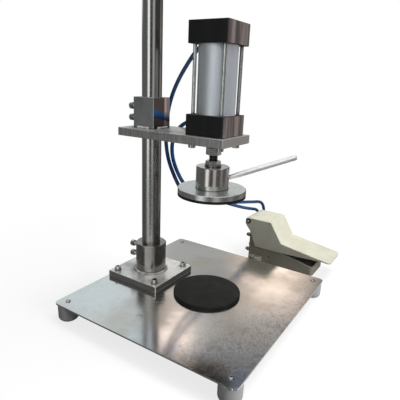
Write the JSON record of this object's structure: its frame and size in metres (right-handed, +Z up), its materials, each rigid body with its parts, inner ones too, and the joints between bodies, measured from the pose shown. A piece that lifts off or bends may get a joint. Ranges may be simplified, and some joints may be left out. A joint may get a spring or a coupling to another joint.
{
  "type": "lug capping machine",
  "caption": "Bench machine whose air cylinder, on an arm clamped to a column, presses a hand-turned head onto a jar lid, worked by a foot valve.",
  "frame": {"origin": "centre of the jar pad's top face, on the axis of the press", "axes": "+Z up along the press axis, -Y towards the operator, +X towards the foot valve"},
  "size_m": [0.5944, 0.3816, 0.635],
  "materials": {
    "polished_sheet": "polished stainless sheet with fine scratches",
    "turned_steel": "turned and polished steel",
    "milled_steel": "milled steel with fine cutter marks",
    "weld_steel": "brushed weld bead",
    "bright_screw": "bright stainless screw",
    "zinc_steel": "zinc plated steel",
    "black_steel": "blackened spring steel",
    "chromed_rod": "hard chromed rod",
    "bearing_steel": "ground bearing steel",
    "bearing_bronze": "bronze bush",
    "sintered_bronze": "sintered bronze silencer",
    "satin_aluminium": "satin anodised tube",
    "aluminium_block": "machined aluminium",
    "black_anodised": "black anodised aluminium",
    "ivory_paint": "smooth ivory paint on a casting",
    "black_rubber": "smooth black rubber",
    "grey_rubber": "moulded grey rubber",
    "black_plastic": "moulded push-in fitting",
    "blue_hose": "smooth dark blue air hose"
  },
  "bodies": {
    "base": {"base_plate": "polished_sheet", "foot_front_left": "grey_rubber", "foot_front_right": "grey_rubber", "foot_rear_left": "grey_rubber", "foot_rear_right": "grey_rubber", "foot_inserts": "zinc_steel", "foot_screws": "bright_screw", "jar_pad": "black_rubber", "flange_plate": "milled_steel", "flange_screws": "bright_screw", "flange_nuts": "bright_screw", "column_socket": "turned_steel", "socket_weld": "weld_steel", "socket_screws": "bright_screw", "column": "turned_steel", "pedal_base": "ivory_paint", "valve_body": "aluminium_block", "valve_screws": "bright_screw", "exhaust_silencers": "sintered_bronze", "pedal_fittings": "black_plastic", "pedal_pin": "zinc_steel", "pin_clips": "black_steel", "hose_upper": "blue_hose", "hose_lower": "blue_hose", "return_spring": "zinc_steel"},
    "arm": {"arm_plate": "milled_steel", "clamp_block": "milled_steel", "block_welds": "weld_steel", "block_screws": "bright_screw", "front_cap": "black_anodised", "rear_cap": "black_anodised", "cylinder_tube": "satin_aluminium", "tube_gaskets": "black_rubber", "tie_rods": "zinc_steel", "tie_rod_nuts": "zinc_steel", "cylinder_screws": "bright_screw", "rod_bush": "bearing_bronze", "rod_wiper": "black_rubber", "cylinder_fittings": "black_plastic"},
    "rod": {"piston": "aluminium_block", "piston_seals": "black_rubber", "piston_rod": "chromed_rod", "piston_nut": "zinc_steel", "jam_nut": "zinc_steel", "spindle_nut": "zinc_steel", "spindle_washer": "zinc_steel", "bearing_sleeve": "zinc_steel", "bearing_inner_ring": "bearing_steel", "lock_nut": "zinc_steel"},
    "head": {"press_hub": "turned_steel", "bearing_outer_ring": "bearing_steel", "bearing_balls": "bearing_steel", "bearing_circlip": "black_steel", "press_disc": "turned_steel", "disc_screws": "bright_screw", "press_rubber": "black_rubber", "turning_handle": "turned_steel"},
    "treadle": {"treadle": "ivory_paint"},
    "spool": {"spool": "aluminium_block", "spool_seals": "black_rubber"}
  },
  "joints": [
    {"name": "arm_height", "type": "slide", "parent": "base", "child": "arm", "axis": [0, 0, 1], "range_m": [-0.1, 0.2], "deforming": ["hose_upper", "hose_lower"]},
    {"name": "press_stroke", "type": "slide", "parent": "arm", "child": "rod", "axis": [0, 0, -1], "range_m": [0, 0.075]},
    {"name": "head_turn", "type": "hinge", "parent": "rod", "child": "head", "pos_m": [0, 0, 0.233], "axis": [0, 0, 1], "range_deg": [-100, 30]},
    {"name": "treadle_press", "type": "hinge", "parent": "base", "child": "treadle", "pos_m": [0.308, 0.045, 0.061], "axis": [1, 0, 0], "range_deg": [0, 6.5], "stiffness_Nm_per_rad": 3.3, "springref_deg": -12.61},
    {"name": "spool_shift", "type": "slide", "parent": "base", "child": "spool", "axis": [0, 0, -1], "range_m": [0, 0.0045], "deforming": ["return_spring"]}
  ],
  "couplings": [
    {"joint": "spool_shift", "follows": "treadle_press", "m_per_rad": 0.037}
  ]
}
